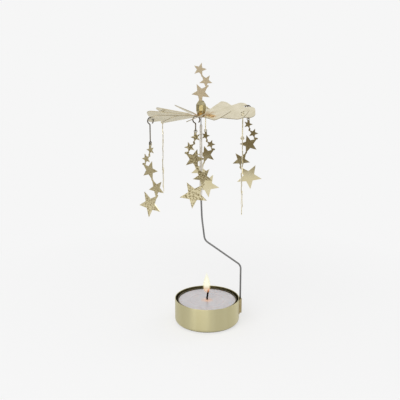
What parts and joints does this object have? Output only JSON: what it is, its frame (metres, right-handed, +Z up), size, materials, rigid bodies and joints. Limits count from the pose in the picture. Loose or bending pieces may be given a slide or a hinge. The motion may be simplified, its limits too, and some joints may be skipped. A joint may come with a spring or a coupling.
{
  "type": "candle carousel",
  "caption": "Rotary tealight holder: a twisted-blade rotor on a needle over the flame, hung with chains of flat stars and topped by a star finial.",
  "frame": {"origin": "centre of the cup's underside, on the table", "axes": "+Z up, +X from the cup's centre towards the foot of the wire stem, +Y away from the camera of the picture"},
  "size_m": [0.0763, 0.0652, 0.1644],
  "materials": {
    "cup_gold": "satin gold sheet",
    "stem_steel": "drawn steel wire",
    "sleeve_metal": "pale satin tube",
    "needle_steel": "polished pin",
    "can_aluminium": "thin drawn can",
    "wax": "pale waxy, slightly translucent",
    "tin_steel": "tinned sheet",
    "wick": "charred braided cotton",
    "fan_gold": "pale satin gold thin sheet",
    "bead_brass": "polished brass",
    "bush_steel": "polished bearing cup",
    "finial_gold": "matt beige gold",
    "hook_wire": "dark bronzed wire",
    "star_gold": "etched gold front, polished gold back"
  },
  "bodies": {
    "base": {"base_cup": "cup_gold", "stem_socket": "cup_gold", "stem_wire": "stem_steel", "stem_sleeve": "sleeve_metal", "pivot_needle": "needle_steel"},
    "tealight": {"tealight_can": "can_aluminium", "tealight_wax": "wax", "wick_sustainer": "tin_steel", "tealight_wick": "wick"},
    "rotor": {"rotor_fan": "fan_gold", "hub_bead": "bead_brass", "pivot_bush": "bush_steel", "hub_washer": "bead_brass", "top_stars": "finial_gold"},
    "pendant_1": {"pendant_hook_1": "hook_wire", "star_chain_1": "star_gold"},
    "pendant_2": {"pendant_hook_2": "hook_wire", "star_chain_2": "star_gold"},
    "pendant_3": {"pendant_hook_3": "hook_wire", "star_chain_3": "star_gold"},
    "pendant_4": {"pendant_hook_4": "hook_wire", "star_chain_4": "star_gold"},
    "pendant_5": {"pendant_hook_5": "hook_wire", "star_chain_5": "star_gold"},
    "pendant_6": {"pendant_hook_6": "hook_wire", "star_chain_6": "star_gold"}
  },
  "joints": [
    {"name": "tealight_lift", "type": "slide", "parent": "base", "child": "tealight", "axis": [0, 0, 1], "range_m": [0, 0.02]},
    {"name": "rotor_spin", "type": "hinge", "parent": "base", "child": "rotor", "pos_m": [-0.004, 0, 0.1394], "axis": [0, 0, 1], "continuous": true},
    {"name": "pendant_swing_1", "type": "hinge", "parent": "rotor", "child": "pendant_1", "pos_m": [-0.03351, -0.01317, 0.13169], "axis": [-0.6018, 0.7986, 0], "range_deg": [-10, 20]},
    {"name": "pendant_swing_2", "type": "hinge", "parent": "rotor", "child": "pendant_2", "pos_m": [-0.00666, -0.02965, 0.13589], "axis": [-1, 0, 0], "range_deg": [-10, 20]},
    {"name": "pendant_swing_3", "type": "hinge", "parent": "rotor", "child": "pendant_3", "pos_m": [0.02005, -0.01709, 0.13674], "axis": [0, -1, 0], "range_deg": [-10, 20]},
    {"name": "pendant_swing_4", "type": "hinge", "parent": "rotor", "child": "pendant_4", "pos_m": [0.0251, 0.01299, 0.136], "axis": [0, -1, 0], "range_deg": [-10, 20]},
    {"name": "pendant_swing_5", "type": "hinge", "parent": "rotor", "child": "pendant_5", "pos_m": [-0.00138, 0.02968, 0.13539], "axis": [1, 0, 0], "range_deg": [-10, 20]},
    {"name": "pendant_swing_6", "type": "hinge", "parent": "rotor", "child": "pendant_6", "pos_m": [-0.02818, 0.01713, 0.13437], "axis": [0, 1, 0], "range_deg": [-10, 20]}
  ]
}
